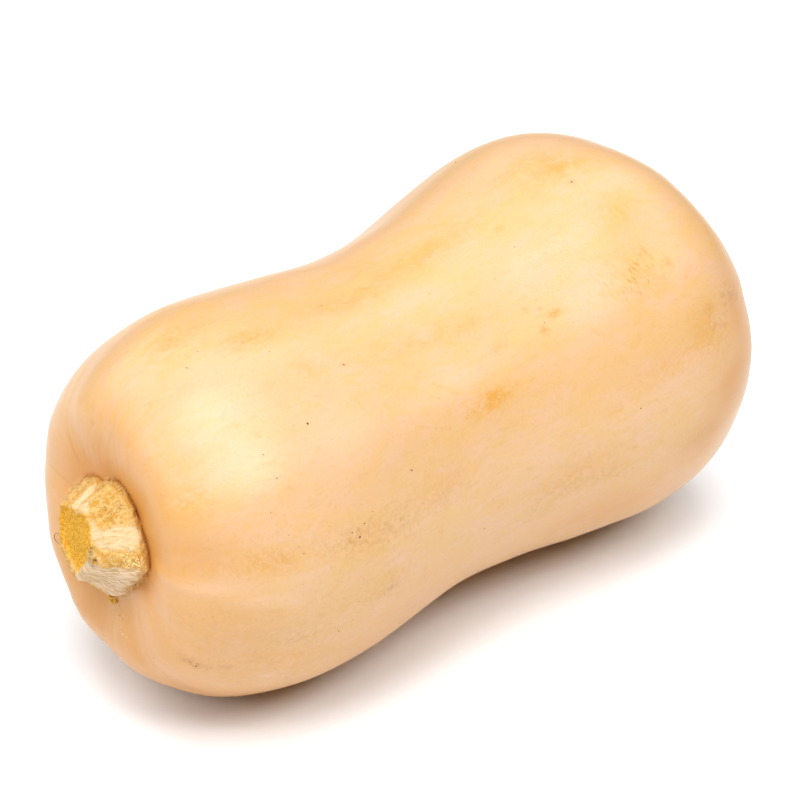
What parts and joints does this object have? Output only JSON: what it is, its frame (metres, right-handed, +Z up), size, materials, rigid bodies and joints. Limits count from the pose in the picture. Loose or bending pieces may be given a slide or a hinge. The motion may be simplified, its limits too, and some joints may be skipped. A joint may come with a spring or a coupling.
{
  "type": "butternut squash",
  "caption": "Whole butternut squash lying on its side, with a broad neck, a rounded bulb and a short cut stem stub.",
  "frame": {"origin": "middle of the footprint's bounding box, on the surface that the squash lies on", "axes": "+X along the squash towards the blossom end, -X towards the stem, +Z up"},
  "size_m": [0.2162, 0.119, 0.1179],
  "materials": {
    "skin": "smooth waxy rind, pale tan to cream with faint orange blotches; stands for squash skin",
    "stem": "dry corky stub, granular and fibrous, with orange pith on the cut"
  },
  "bodies": {
    "root": {"fruit": "skin", "stem": "stem"}
  },
  "joints": []
}
